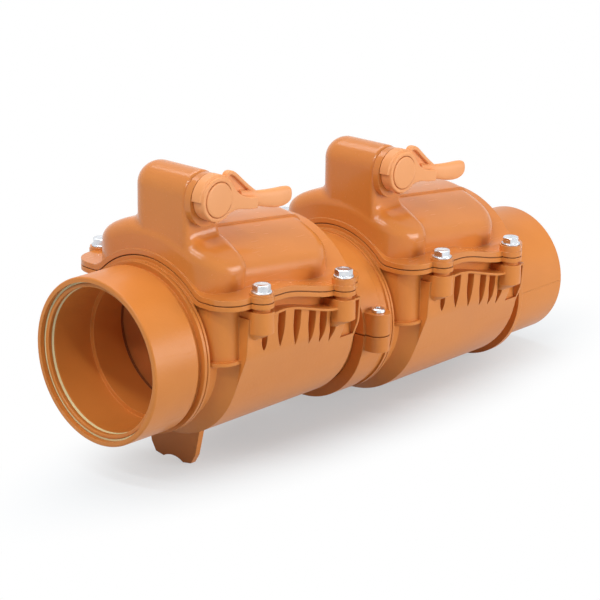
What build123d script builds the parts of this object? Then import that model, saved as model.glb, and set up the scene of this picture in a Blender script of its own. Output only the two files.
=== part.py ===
"""Double backwater valve for a DN110 drain: two flap valve units in line, joined by a clamp.

Frame: origin at the centre of the inlet socket's mouth, +X along the flow, +Z up, millimetres.
Each unit drops the pipe by unit_drop, so its outlet lies lower than its inlet.
Shapes are made in a unit's own frame, whose origin lies on that unit's inlet axis.
"""
import os
from math import atan, cos, pi, radians, sin, tan

from build123d import *

os.makedirs("parts", exist_ok=True)

# Pipe and socket
pipe_od = 110.0
pipe_wall = 3.2
socket_od = 128.0
socket_clearance = 0.4
socket_length = 42.0
socket_stop = 46.0
mouth_radius = 60.0
mouth_round = 1.5
seal_start = 3.6
seal_length = 2.8
seal_grip = 0.6
seal_inner_radius = 56.2
lead_in_radius = 57.2
lead_in_end = 10.4
fit_gap = 0.3
side_gap = 0.1

# Units in line
unit_pitch = 208.0
unit_drop = 18.0
spigot_end = 500.0

# Chamber and belly, along the flow from the unit's origin
wall = 3.5
chamber_start = 56.0
chamber_end = 203.0
chamber_half_width = 73.0
chamber_corner = 16.0
ledge_z = 1.5
ledge_lip = 2.5
belly_start = 75.0
belly_radius = 73.5
neck_wall = 6.1
ring_start = 47.0
ring_end = 52.5
ring_radius = 66.0

# Parting face between lid and body: an arch along the pipe between two shelves that step down
arch_radius = 70.0
shelf_z = 47.3
shelf_drop = 10.8
fall_start = 109.5
fall_end = 171.0
shelf_blend = 12.0
flange_thickness = 4.0
body_flange_thickness = 3.5
gasket_thickness = 1.0
gasket_inset = 1.0
flange_start = 52.5
flange_end = 207.0
flange_half_width = 84.0
flange_corner = 20.0

# Lid bolts
front_bolt_x = 86.0
bolt_spacing_x = 90.0
bolt_half_spacing = 85.0
bolt_radius = 3.0
bolt_hole_gap = 0.3
bolt_head_flange_radius = 7.8
bolt_head_flange_height = 1.6
bolt_head_hex = 10.0
bolt_head_height = 6.4
bolt_seat_z = 53.4
bolt_seat_drop = 8.0
nut_height = 5.0
nut_hex = 10.0
boss_radius = 9.5
boss_neck_radius = 6.8
boss_step_drop = 7.5
boss_drop = 24.0
boss_taper_height = 7.0
insert_radius = 4.2
insert_length = 14.0
insert_drop = 6.0

# Fanned side skirt
skirt_flare = 22.0
skirt_lean = 4.0
skirt_knee_y = 80.9
skirt_knee_round = 20.0
skirt_top_drop = 13.0
skirt_end = 200.0
rib_thickness = 1.8
rib_half_width = 84.5
slot_pitches = (17.3, 16.7, 12.8, 12.0)
slot_first_x = 110.7
slot_width = 8.0
slot_tip_z = 4.5
slot_tip_slope = 0.19
small_slot_x = 93.3
small_slot_width = 6.0
small_slot_top = 19.5
small_slot_height = 14.0
pocket_start = 183.0
pocket_end = 198.0
pocket_floor_z = -7.0

# Lid hood
lid_wall = 3.2
hood_start = 53.5
hood_end = 195.5
hood_half_width = 66.0
hood_top = 96.5
hood_step_x = 97.0
hood_step = 5.0
hood_slope = 0.105
hood_step_side = 2.0
hood_step_corner = 13.0
hood_front_corner = 28.0
hood_rear_corner = 26.0
hood_edge_round = 12.0
barrel_edge_round = 15.0
crown_half_width = 24.0
crown_height = 1.6

# Turret and lock shaft
shaft_x = 72.0
shaft_z = 119.5
shaft_radius = 8.0
running_gap = 0.08
turret_half_length = 17.5
turret_near_y = -39.0
turret_far_y = 21.6
turret_fillet = 9.0
turret_top = 138.5
turret_root = 28.0
turret_near_round = 4.0
collar_height = 6.0
collar_half_length = 18.8
collar_rise = 20.0
collar_z = 117.5
bearing_radius = 12.5
bearing_inner_y = -18.0
crank_radius = 12.5
crank_thickness = 4.5
crank_throw = 8.0
crank_pin_radius = 3.0
crank_start_angle = 135.0
slide_thickness = 8.0
slide_width = 8.5
slide_gap = 0.3
slot_gap = 0.55
guide_thickness = 2.5
guide_height = 18.0
slide_wall_gap = 1.0
yoke_height = 13.0
o_ring_wire = 1.9
o_ring_squeeze = 0.1

# Lever
lever_hub_radius = 17.8
lever_hub_length = 8.0
lever_face_radius = 13.0
lever_face_height = 2.4
lever_gap = 0.4
lever_thickness = 10.0
lever_square = 11.0
lever_square_gap = 0.05
lever_face_rim = 1.6
lever_web = 1.5
screw_radius = 2.5
screw_head_radius = 4.5
screw_head_height = 3.0

# Flap
flap_hinge_z = 63.0
flap_tilt = 4.0
seat_x = 74.5
seat_lip_radius = 57.5
flap_hinge_offset = 7.0
flap_radius = 57.0
flap_plate = 4.0
flap_seal_thickness = 2.5
flap_seal_width = 4.5
flap_rib_height = 5.0
hinge_pin_radius = 2.5
hinge_ear_radius = 5.5
hinge_ear_y = 20.0
hinge_ear_width = 6.0
hinge_lug_width = 5.0
hinge_side_gap = 0.3
horn_height = 12.0
horn_thickness = 3.5
horn_gap = 0.6
horn_overlap = 4.5

# Clamp joint
joint_face_x = 27.5
clamp_length = 23.0
clamp_wall = 3.5
joint_flange_radius = 62.0
joint_flange_thickness = 6.0
clamp_split_gap = 1.0
clamp_ear_radius = 9.5
clamp_ear_reach = 8.0
clamp_upper_ear = 18.0
clamp_lower_ear = 13.0
clamp_bolt_radius = 3.0
clamp_head_radius = 5.4
clamp_head_height = 3.5
joint_seal_depth = 2.8
joint_seal_width = 3.4
outlet_hub_radius = 64.5
rear_flange_start = 222.0
rear_flange_thickness = 5.0

# Foot under the inlet unit
foot_x = 79.0
foot_thickness = 5.0
foot_top_half_width = 30.0
foot_tip_half_width = 19.0
foot_arch = 3.0

pipe_radius = pipe_od / 2
bore_radius = pipe_radius - pipe_wall
socket_radius = socket_od / 2
socket_bore_radius = pipe_radius + socket_clearance
neck_radius = socket_bore_radius + neck_wall
seal_radius = mouth_radius + seal_grip
cavity_start = chamber_start + wall
cavity_end = chamber_end - wall
cavity_half_width = chamber_half_width - wall
cavity_radius = belly_radius - wall
bolt_xs = (front_bolt_x, front_bolt_x + bolt_spacing_x)
bolt_places = [(x, side * bolt_half_spacing) for x in bolt_xs for side in (-1, 1)]
foot_z = -(joint_flange_radius + 2 * unit_drop)
joint_x = unit_pitch + joint_face_x
clamp_radius = joint_flange_radius + clamp_wall
clamp_ear_y = joint_flange_radius + clamp_ear_reach
tall = 200.0


def rod_x(radius, x0, x1, z=0.0):
    """Round bar along the flow, from x0 to x1, about the axis at height z."""
    return Pos(x0, 0, z) * Rot(0, 90, 0) * Cylinder(radius, x1 - x0, align=(Align.CENTER, Align.CENTER, Align.MIN))


def rod_y(radius, x, z, y0, y1):
    """Round bar across the flow, from y0 to y1."""
    return Pos(x, y0, z) * Rot(-90, 0, 0) * Cylinder(radius, y1 - y0, align=(Align.CENTER, Align.CENTER, Align.MIN))


def rod_z(radius, x, y, z0, z1):
    """Upright round bar."""
    return Pos(x, y, z0) * Cylinder(radius, z1 - z0, align=(Align.CENTER, Align.CENTER, Align.MIN))


def hex_z(across, x, y, z0, z1):
    """Upright hexagonal bar, by its size across flats."""
    return Pos(x, y, z0) * extrude(RegularPolygon(across / 2, 6, major_radius=False), z1 - z0)


def block(x0, x1, y0, y1, z0, z1):
    """Box between two corners."""
    return Pos(x0, y0, z0) * Box(x1 - x0, y1 - y0, z1 - z0, align=(Align.MIN, Align.MIN, Align.MIN))


def both_sides(shape):
    """The shape and its mirror image across the pipe's upright plane."""
    return shape + mirror(shape, Plane.XZ)


def plan_prism(x0, x1, half_width, front_round, rear_round, z0, z1):
    """Upright prism on a rectangle whose front and rear corners are rounded."""
    outline = Pos((x0 + x1) / 2, 0) * Rectangle(x1 - x0, 2 * half_width)
    outline = fillet(outline.vertices().group_by(Axis.X)[0], front_round)
    outline = fillet(outline.vertices().group_by(Axis.X)[-1], rear_round)
    return Pos(0, 0, z0) * extrude(outline, z1 - z0)


def side_prism(points, y0, y1):
    """Prism across the flow on an outline of (x, z) points."""
    return Pos(0, y1, 0) * extrude(Plane.XZ * make_face(Polyline(*points, close=True)), y1 - y0)


def shelf_height(x, rise=0.0):
    """Height of the parting shelf at x, raised by rise: level at both bolts, with a smooth fall between."""
    t = min(max((x - fall_start) / (fall_end - fall_start), 0.0), 1.0)
    return shelf_z + rise - shelf_drop * t * t * (3 - 2 * t)


def under_shelf(x0, x1, rise, y0=-tall, y1=tall):
    """All space under the shelf's line, raised by rise, between two sides."""
    high, low = shelf_height(fall_start, rise), shelf_height(fall_end, rise)
    third = (fall_end - fall_start) / 3
    fall = Bezier((fall_start, high), (fall_start + third, high), (fall_end - third, low), (fall_end, low))
    rest = Polyline((fall_end, low), (x1, low), (x1, -tall), (x0, -tall), (x0, high), (fall_start, high))
    return Pos(0, y1, 0) * extrude(Plane.XZ * make_face(fall + rest), y1 - y0)


def under_parting(rise):
    """All space under the parting face when that is raised by rise."""
    x0, x1 = 20.0, chamber_end + 30.0
    radius = arch_radius + rise
    solid = rod_x(radius, x0, x1) + under_shelf(x0, x1, rise)
    along = [e for e in solid.edges() if e.bounding_box().size.X > shelf_blend]
    meets = [e for e in along if shelf_blend < abs(e.center().Y) < radius and e.center().Z > 0]
    return fillet(meets, shelf_blend)


def ears(radius, z0, z1):
    """Round ears about the four lid bolts, each with a web back towards the wall."""
    shapes = [rod_z(radius, x, y, z0, z1) for x, y in bolt_places]
    for x, y in bolt_places:
        y0, y1 = sorted((y, hood_half_width * (1 if y > 0 else -1)))
        shapes.append(block(x - radius, x + radius, y0, y1, z0, z1))
    return Part() + shapes


def flange_band(low, high, inset=0.0):
    """The part of the saddle flange between two rises, as a solid plate without its opening."""
    plate = plan_prism(flange_start + inset, flange_end - inset, flange_half_width - inset, flange_corner,
                       flange_corner, 0, tall)
    plate += ears(boss_radius - inset, 0, tall)
    return plate & (under_parting(high) - under_parting(low))


def bolt_holes(radius):
    return Part() + [rod_z(radius, x, y, -tall, tall) for x, y in bolt_places]


def hood(inset):
    """Outer or inner form of the lid's hood: a high front part and a lower barrel behind it."""
    return hood_front(inset) + hood_barrel(inset)


def hood_front(inset):
    """High front part of the hood, under the turret."""
    front, corner = hood_start + inset, hood_front_corner - inset
    plan = plan_prism(front, hood_step_x - inset, hood_half_width - inset, corner, hood_step_corner - inset, 0, tall)
    return rounded_top(plan, Plane.YZ, hood_top - inset, hood_edge_round - inset)


def hood_barrel(inset):
    """Rear part of the hood, a step lower and narrower, which slopes down along the flow."""
    slope = atan(hood_slope)
    start = Plane(origin=(hood_step_x, 0, 0), x_dir=(0, 1, 0), z_dir=(cos(slope), 0, -sin(slope)))
    plan = plan_prism(hood_start + 2 * hood_step + inset, hood_end - inset, hood_half_width - hood_step_side - inset,
                      hood_front_corner - inset, hood_rear_corner - inset, 0, tall)
    return rounded_top(plan, start, (hood_top - hood_step) * cos(slope) - inset, barrel_edge_round - inset)


def crown():
    """Flat raised strip along the barrel's top and down its rear."""
    strip = block(hood_step_x - 3 * hood_step, tall, -crown_half_width, crown_half_width, arch_radius / 2, tall)
    return hood_barrel(-crown_height) & strip


def rounded_top(plan, start, radius, edge_round):
    """Upright prism topped by a cylinder along the start plane's normal, with its upper edge rounded."""
    piece = plan & extrude(start * Circle(radius), tall, both=True)
    upper = [e for e in piece.edges() if e.center().Z > arch_radius / 2 and e.bounding_box().size.Z < arch_radius / 2]
    return fillet(upper, edge_round)


def end_edges(face):
    """Edges round an end face, without its lowest one."""
    return face.edges().sort_by(Axis.Z)[1:]


def turret(inset):
    """Outer or inner form of the tower that houses the lock's crank: arched, with a domed far end."""
    radius = turret_half_length - inset
    near_y = turret_near_y + inset
    far_y = turret_far_y - turret_half_length
    low_z = hood_top - turret_root
    centre_z = turret_top - turret_half_length
    tower = block(shaft_x - radius, shaft_x + radius, near_y, far_y, low_z, centre_z)
    tower += rod_y(radius, shaft_x, centre_z, near_y, far_y)
    if inset == 0:
        tower = fillet(end_edges(tower.faces().sort_by(Axis.Y)[0]), turret_near_round)
    tower += rod_z(radius, shaft_x, far_y, low_z, centre_z)
    return tower + Pos(shaft_x, far_y, centre_z) * Sphere(radius)


def make_lid():
    """Hood, turret and saddle flange in one moulding, with the bearing and the slide's guide inside."""
    tower = turret(0)
    shell = hood(0) + tower
    shell = fillet(new_edges(hood(0), tower, combined=shell), turret_fillet) + crown()
    shell -= hood(lid_wall) + turret(lid_wall)
    shell -= under_parting(0)
    flange = flange_band(0, flange_thickness) - lid_mouth(lid_wall)
    oval = SlotCenterToCenter(2 * (collar_rise - collar_half_length), 2 * collar_half_length, rotation=90)
    collar = Pos(0, turret_near_y, 0) * extrude(Plane.XZ * Pos(shaft_x, collar_z) * oval, collar_height)
    bearing = rod_y(bearing_radius, shaft_x, shaft_z, turret_near_y, bearing_inner_y)
    lid = shell + flange + collar + bearing + make_guides()
    lid -= rod_y(shaft_radius + running_gap, shaft_x, shaft_z, turret_near_y - 10, bearing_inner_y + 1)
    pads = Part() + [bolt_pad(x, y) for x, y in bolt_places]
    return lid + pads - bolt_holes(bolt_radius + bolt_hole_gap)


def lid_mouth(inset):
    """Opening inside the lid's flange."""
    front_round, rear_round = hood_front_corner - inset, hood_rear_corner - inset
    return plan_prism(hood_start + inset, hood_end - inset, hood_half_width - inset, front_round, rear_round, 0, tall)


def make_guides():
    """Two ribs on the turret's front wall between which the lock slide's bar runs."""
    wall_x = shaft_x - turret_half_length + lid_wall
    slide_y0, slide_y1 = slide_span()
    top_z = shaft_z - crank_radius - 2 * guide_thickness
    guides = Part()
    for y0 in (slide_y0 - slide_gap - guide_thickness, slide_y1 + slide_gap):
        guides += block(wall_x - 1, bar_x() - slide_width / 3, y0, y0 + guide_thickness, top_z - guide_height, top_z)
    return guides


def bolt_pad(x, y):
    """Raised pad on the flange for a bolt's head."""
    return rod_z(boss_radius - 0.6, x, y, shelf_height(x) + 1, seat_height(x))


def seat_height(x):
    """Height of a bolt head's seat."""
    return bolt_seat_z - bolt_seat_drop * (x - front_bolt_x) / bolt_spacing_x


def slide_span():
    """Where the lock slide lies across the flow."""
    y0 = bearing_inner_y + crank_thickness + slide_gap + 1
    return y0, y0 + slide_thickness


def make_gasket():
    """Flat gasket that follows the saddle between lid and body."""
    gasket = flange_band(-gasket_thickness, 0, inset=gasket_inset) - lid_mouth(lid_wall / 2)
    return gasket - bolt_holes(bolt_radius + bolt_hole_gap)


def slot_shape(x, width, top_z, tip_z):
    """Pointed slot in the skirt, cut from outside to just outside the chamber's wall."""
    half = width / 2
    bend_z = tip_z + 0.6 * (top_z - tip_z)
    left = ThreePointArc((x - half, bend_z), (x - 0.62 * half, (bend_z + tip_z) / 2 - 1), (x, tip_z))
    right = ThreePointArc((x, tip_z), (x + 0.62 * half, (bend_z + tip_z) / 2 - 1), (x + half, bend_z))
    sides = Polyline((x + half, bend_z), (x + half, top_z), (x - half, top_z), (x - half, bend_z))
    outline = make_face(left + right + sides)
    return Pos(0, -chamber_half_width - 0.8, 0) * extrude(Plane.XZ * outline, tall)


def slope_z(x, drop):
    """Height that lies drop below the parting shelf at x."""
    return shelf_height(x) - drop


def make_skirt():
    """Side skirt that flares up from the belly to a thin rib, with pointed slots between its fins."""
    flare, lean = radians(skirt_flare), radians(skirt_lean)
    low = (-belly_radius * cos(flare), -belly_radius * sin(flare))
    knee = (-skirt_knee_y, low[1] + (skirt_knee_y + low[0]) / tan(flare))
    top = (-skirt_knee_y - (shelf_z - knee[1]) * tan(lean), shelf_z)
    inner_y = -seat_lip_radius
    section = make_face(Polyline(low, knee, top, (inner_y, shelf_z), (inner_y, low[1]), close=True))
    section = fillet(section.vertices().sort_by_distance(knee)[0], skirt_knee_round)
    skirt = Plane.YZ.offset(belly_start) * extrude(section, skirt_end - belly_start)
    skirt &= under_shelf(belly_start - 1, skirt_end + 1, -skirt_top_drop)
    x = slot_first_x
    for pitch in (0.0,) + slot_pitches:
        x += pitch
        tip = slot_tip_z - slot_tip_slope * (x - slot_first_x)
        skirt -= slot_shape(x, slot_width, slope_z(x - slot_width / 2, skirt_top_drop + rib_thickness), tip)
    skirt -= slot_shape(small_slot_x, small_slot_width, small_slot_top, small_slot_top - small_slot_height)
    pocket_top = slope_z(pocket_start, skirt_top_drop + rib_thickness)
    return skirt - block(pocket_start, pocket_end, -tall, -chamber_half_width - 0.8, pocket_floor_z, pocket_top)


def make_rib():
    """Thin wavy rib along the top of the skirt, from the front boss to the rear one."""
    x0, x1 = front_bolt_x, front_bolt_x + bolt_spacing_x
    inner = -cavity_half_width - 1
    outer = -rib_half_width
    wave = Spline((x0 - 8, outer + 4), (x0 + 8, outer), (x0 + 36, outer + 2), (x0 + 64, outer - 3), (x1, outer - 1),
                  (x1 + 12, outer + 8))
    rest = Polyline((x1 + 12, outer + 8), (x1 + 12, inner), (x0 - 8, inner), (x0 - 8, outer + 4))
    plate = extrude(make_face(wave + rest), tall)
    xa, xb = x0 - 20, x1 + 30
    slab = under_shelf(xa, xb, -skirt_top_drop, -tall, 0)
    slab -= under_shelf(xa - 1, xb + 1, -skirt_top_drop - rib_thickness, -tall - 1, 1)
    return plate & slab


def make_bosses():
    """Bolt bosses on the near side: a neck under the flange, then a wider column that tapers off."""
    shapes = []
    y = -bolt_half_spacing
    inner = -cavity_half_width - 1
    for x in bolt_xs:
        step_z = slope_z(x, boss_step_drop)
        low_z = slope_z(x, boss_drop)
        top_z = shelf_height(x) - gasket_thickness - 1
        shapes.append(rod_z(boss_neck_radius, x, y, step_z - 1, top_z))
        shapes.append(block(x - boss_neck_radius + 3, x + boss_neck_radius - 3, y, inner, step_z - 1, top_z))
        shapes.append(rod_z(boss_radius, x, y, low_z, step_z))
        shapes.append(block(x - boss_radius, x + boss_radius, y, inner, low_z, step_z))
        wide = Pos(x, 0, low_z) * boss_foot(boss_radius, y, inner)
        narrow = Pos(x, 0, low_z - boss_taper_height) * boss_foot(boss_radius - 3, y + boss_radius, inner)
        shapes.append(loft([wide, narrow]))
    return Part() + shapes


def boss_foot(radius, y, inner):
    """Plan outline of a bolt column: a half circle with straight sides back to the wall."""
    arc = ThreePointArc((-radius, y), (0, y - radius), (radius, y))
    return make_face(arc + Polyline((radius, y), (radius, inner), (-radius, inner), (-radius, y)))


def make_chamber():
    """Chamber, belly, skirts and body flange, which both units share, still closed at both ends."""
    chamber = plan_prism(chamber_start, chamber_end, chamber_half_width, chamber_corner, chamber_corner, ledge_z, tall)
    lip = plan_prism(chamber_start - ledge_lip, belly_start + 1, chamber_half_width + ledge_lip, chamber_corner,
                     1.0, ledge_z - ledge_lip, ledge_z)
    belly = rod_x(belly_radius, belly_start, chamber_end)
    belly -= block(0, tall * 2, -tall, tall, ledge_z, tall)
    cone_start = Plane.YZ.offset(belly_start - wall * 3)
    cone = loft([cone_start * Circle(neck_radius), Plane.YZ.offset(belly_start) * Circle(belly_radius)])
    cone -= block(0, tall * 2, -tall, tall, ledge_z, tall)
    sides = both_sides(make_skirt() + make_rib() + make_bosses())
    shell = rod_x(neck_radius, ring_end, belly_start + wall) + lip + belly + cone + sides
    shell += chamber & under_parting(-gasket_thickness)
    return shell + flange_band(-gasket_thickness - body_flange_thickness, -gasket_thickness)


def make_cavity():
    """Inside of the chamber: straight side walls above the ledge, a round belly below it."""
    corner = chamber_corner - wall
    floor_z = ledge_z + wall
    upper = plan_prism(cavity_start, cavity_end, cavity_half_width, corner, corner, floor_z, tall)
    upper &= under_parting(-gasket_thickness - body_flange_thickness)
    lower = rod_x(cavity_radius, belly_start + wall, cavity_end)
    lower -= block(0, tall * 2, -tall, tall, floor_z + 1, tall)
    pocket = rod_x(seat_lip_radius + 1, cavity_start, belly_start + wall + 1)
    mouth = lid_mouth(lid_wall) - block(0, tall * 2, -tall, tall, 0, shelf_z - 2 * flange_thickness - 12)
    return upper + lower + pocket + mouth


def flap_place():
    """Location of the flap's own frame: origin on the hinge axis, -Z down along the seat."""
    tilt = radians(flap_tilt)
    hinge_x = seat_x - flap_hinge_z * tan(tilt) + flap_hinge_offset / cos(tilt)
    return Pos(hinge_x, 0, flap_hinge_z) * Rot(0, -flap_tilt, 0)


def make_seat():
    """Pipe stub inside the chamber, cut off aslant where the flap closes on it."""
    stub = rod_x(seat_lip_radius, ring_start, seat_x + 20)
    cut = flap_place() * block(-flap_hinge_offset, tall, -tall, tall, -tall, tall)
    return stub - cut


def make_hinge_lugs():
    """Two lugs on the front wall that hold the ends of the flap's hinge pin."""
    hinge = flap_place().position
    y0 = hinge_ear_y + hinge_ear_width / 2 + hinge_side_gap
    lugs = Part()
    for side in (-1, 1):
        ya, yb = sorted((side * y0, side * (y0 + hinge_lug_width)))
        lugs += rod_y(hinge_ear_radius, hinge.X, hinge.Z, ya, yb)
        lugs += block(cavity_start - 1, hinge.X, ya, yb, bore_radius, hinge.Z - hinge_pin_radius)
        lugs += block(hinge.X - hinge_ear_radius, hinge.X, ya, yb, bore_radius, hinge.Z)
    return lugs


def hinge_pin_hole(gap):
    hinge = flap_place().position
    reach = hinge_ear_y + hinge_ear_width / 2 + hinge_side_gap + hinge_lug_width
    return rod_y(hinge_pin_radius + gap, hinge.X, hinge.Z, -reach, reach)


def insert_holes():
    """Round pockets for the threaded inserts, open at the top of each boss."""
    return Part() + [insert_bar(x, y, tall) for x, y in bolt_places]


def insert_bar(x, y, reach=0.0):
    """Round bar where an insert sits, lengthened upwards by reach."""
    top = shelf_height(x) - gasket_thickness - insert_drop
    return rod_z(insert_radius, x, y, top - insert_length, top + reach)


def body_core():
    """Chamber with its cavity, seat, hinge lugs and insert holes."""
    shell = make_chamber() - make_cavity()
    shell += make_seat() + make_hinge_lugs()
    shell -= rod_x(bore_radius, socket_stop, seat_x + 20)
    shell -= hinge_pin_hole(0)
    return shell - bolt_holes(bolt_radius + bolt_hole_gap) - insert_holes()


def front_ring():
    ring = rod_x(ring_radius, ring_start, ring_end)
    groove = rod_x(ring_radius + 1, ring_start + 2.6, ring_start + 3.6) - rod_x(ring_radius - 1.2, ring_start, ring_end)
    return ring - groove


def make_foot():
    """Arched plate that props the inlet end level with the outlet's flange."""
    tip = foot_tip_half_width
    side = Polyline((tip * 0.55, foot_z), (tip, foot_z + 1.5), (tip + 4.5, foot_z + 9), (foot_top_half_width, -neck_radius),
                    (-foot_top_half_width, -neck_radius), (-tip - 4.5, foot_z + 9), (-tip, foot_z + 1.5), (-tip * 0.55, foot_z))
    arch = ThreePointArc((-tip * 0.55, foot_z), (0, foot_z + foot_arch), (tip * 0.55, foot_z))
    plate = Plane.YZ.offset(foot_x) * extrude(make_face(side + arch), foot_thickness)
    return plate - rod_x(belly_radius - 1, 0, tall)


def make_inlet_body(core):
    """First unit's body: push-fit socket, chamber, foot and a flange for the clamp."""
    barrel = rod_x(socket_radius, 0, socket_length)
    barrel = fillet(barrel.edges().sort_by(Axis.X)[0], mouth_round)
    socket = barrel + rod_x(neck_radius, socket_length, ring_end)
    socket += front_ring()
    outlet_z = -unit_drop
    outlet = rod_x(pipe_radius, chamber_end - 1, joint_x, outlet_z)
    outlet += rod_x(joint_flange_radius, joint_x - joint_flange_thickness, joint_x, outlet_z)
    solid = core + socket + outlet + make_foot()
    solid -= rod_x(socket_bore_radius, -1, socket_stop)
    solid -= rod_x(bore_radius, socket_stop - 1, ring_end)
    solid -= rod_x(mouth_radius, -1, seal_start)
    groove_end = seal_start + seal_length
    solid -= rod_x(seal_radius, seal_start, groove_end)
    lead_in = Plane.YZ.offset(groove_end) * Circle(lead_in_radius)
    solid -= loft([lead_in, Plane.YZ.offset(lead_in_end) * Circle(socket_bore_radius)])
    solid -= rod_x(bore_radius, cavity_end - 1, joint_x + 1, outlet_z)
    return solid


def make_outlet_body(core):
    """Second unit's body: a flange for the clamp at the front and a plain spigot at the rear."""
    front = joint_x - unit_pitch
    hub = front + clamp_length / 2 + fit_gap
    inlet = rod_x(joint_flange_radius, front, front + joint_flange_thickness)
    inlet += rod_x(neck_radius - wall, front, hub + 1)
    inlet += rod_x(outlet_hub_radius, hub, ring_start) + front_ring()
    inlet += rod_x(neck_radius, ring_start, ring_end)
    outlet_z = -unit_drop
    end = spigot_end - unit_pitch
    flange_x = rear_flange_start
    outlet = rod_x(pipe_radius, chamber_end - 1, end, outlet_z)
    outlet += rod_x(joint_flange_radius, flange_x, flange_x + rear_flange_thickness, outlet_z)
    solid = core + inlet + outlet
    solid -= rod_x(bore_radius, front - 1, ring_end)
    solid -= joint_seal_ring(0.0, front)
    solid -= rod_x(bore_radius, cavity_end - 1, end + 1, outlet_z)
    return solid


def joint_seal_ring(inset, x):
    mean = (bore_radius + joint_flange_radius) / 2
    outer, inner = mean + joint_seal_width / 2 - inset, mean - joint_seal_width / 2 + inset
    return rod_x(outer, x, x + joint_seal_depth) - rod_x(inner, x, x + joint_seal_depth)


def make_lip_seal():
    """Push-fit seal in the socket's groove."""
    x0, x1 = seal_start + side_gap, seal_start + seal_length - side_gap
    return rod_x(seal_radius - side_gap, x0, x1) - rod_x(seal_inner_radius, x0, x1)


def make_lid_bolts():
    """Flanged hexagon bolts, each down into its threaded insert."""
    bolts = Part()
    for x, y in bolt_places:
        top = seat_height(x)
        low = shelf_height(x) - gasket_thickness - insert_drop - insert_length + 2
        bolts += rod_z(bolt_radius, x, y, low, top)
        bolts += rod_z(bolt_head_flange_radius, x, y, top, top + bolt_head_flange_height)
        bolts += hex_z(bolt_head_hex, x, y, top, top + bolt_head_height)
    return bolts


def make_lid_inserts():
    """Threaded brass inserts in the bosses."""
    return Part() + [insert_bar(x, y) for x, y in bolt_places] - bolt_holes(bolt_radius)


def make_flap():
    """Flap plate with its stiffening ring, cross rib, hinge ears and the horn that the lock stops, in its own frame."""
    back = -flap_hinge_offset + fit_gap + flap_seal_thickness
    centre = -flap_hinge_z / cos(radians(flap_tilt))
    plate = rod_x(flap_radius, back, back + flap_plate, centre)
    rib = rod_x(flap_radius - 14, back, back + flap_plate + flap_rib_height, centre)
    rib -= rod_x(flap_radius - 17, back, back + flap_plate + flap_rib_height + 1, centre)
    rib += block(back, back + flap_plate + flap_rib_height - 1, -1.5, 1.5, centre - flap_radius + 6, centre + flap_radius - 16)
    solid = plate + rib
    ear = hinge_ear_width / 2
    for side in (-1, 1):
        y = side * hinge_ear_y
        solid += rod_y(hinge_ear_radius, 0, 0, y - ear, y + ear)
        solid += block(back, hinge_ear_radius, y - ear, y + ear, -16, 0)
    slide_y0, slide_y1 = slide_span()
    solid += rod_y(hinge_ear_radius, 0, 0, slide_y0, slide_y1)
    solid += block(back, 0, slide_y0, slide_y1, -16, 0)
    horn = Polyline((-horn_thickness, 0), (-horn_thickness, horn_height), (-horn_thickness / 2, horn_height),
                    (hinge_ear_radius - 1, 0), close=True)
    solid += Pos(0, slide_y1, 0) * extrude(Plane.XZ * make_face(horn), slide_y1 - slide_y0)
    return solid - rod_y(hinge_pin_radius + running_gap, 0, 0, -tall, tall)


def make_flap_seal():
    """Flat sealing ring on the flap's face, in the flap's frame."""
    front = -flap_hinge_offset + fit_gap
    centre = -flap_hinge_z / cos(radians(flap_tilt))
    outer = flap_radius - 0.5
    return rod_x(outer, front, front + flap_seal_thickness, centre) - rod_x(
        outer - flap_seal_width, front - 1, front + flap_seal_thickness + 1, centre)


def crank_pin_place():
    angle = radians(crank_start_angle)
    return shaft_x + crank_throw * cos(angle), shaft_z + crank_throw * sin(angle)


def make_shaft():
    """Lock shaft: square end for the lever, journal with two ring grooves, crank disc and pin."""
    outer_y = turret_near_y - collar_height - lever_gap - lever_hub_length + lever_web
    journal_y = turret_near_y - collar_height
    half = lever_square / 2
    shaft = rod_y(shaft_radius, shaft_x, shaft_z, journal_y, bearing_inner_y + 0.4)
    shaft += block(shaft_x - half, shaft_x + half, outer_y, journal_y, shaft_z - half, shaft_z + half)
    shaft += rod_y(crank_radius, shaft_x, shaft_z, bearing_inner_y + 0.4, bearing_inner_y + 0.4 + crank_thickness)
    pin_x, pin_z = crank_pin_place()
    slide_y1 = slide_span()[1]
    shaft += rod_y(crank_pin_radius, pin_x, pin_z, bearing_inner_y + crank_thickness, slide_y1)
    for y in o_ring_places():
        shaft -= o_ring(y, 0)
    shaft -= rod_y(screw_radius, shaft_x, shaft_z, outer_y - 1, outer_y + 12)
    return shaft


def o_ring_places():
    middle = (turret_near_y + bearing_inner_y) / 2
    return (middle - 4, middle + 4)


def o_ring(y, gap):
    """Square-cut ring round the shaft."""
    half = o_ring_wire / 2 - gap
    ring = rod_y(shaft_radius + running_gap / 2, shaft_x, shaft_z, y - half, y + half)
    return ring - rod_y(shaft_radius - o_ring_wire + gap, shaft_x, shaft_z, y - half - 1, y + half + 1)


def make_o_rings():
    return Part() + [o_ring(y, 0) for y in o_ring_places()]


def bar_x():
    """Rear face of the lock slide's bar, just in front of the closed flap's horn."""
    tilt = radians(flap_tilt)
    return flap_place().position.X - horn_height * sin(tilt) - horn_thickness * cos(tilt) - horn_gap


def slide_travel():
    """How far the slide drops as the crank pin turns a quarter from its start."""
    start = radians(crank_start_angle)
    return crank_throw * (sin(start) - sin(start + pi / 2))


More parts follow.
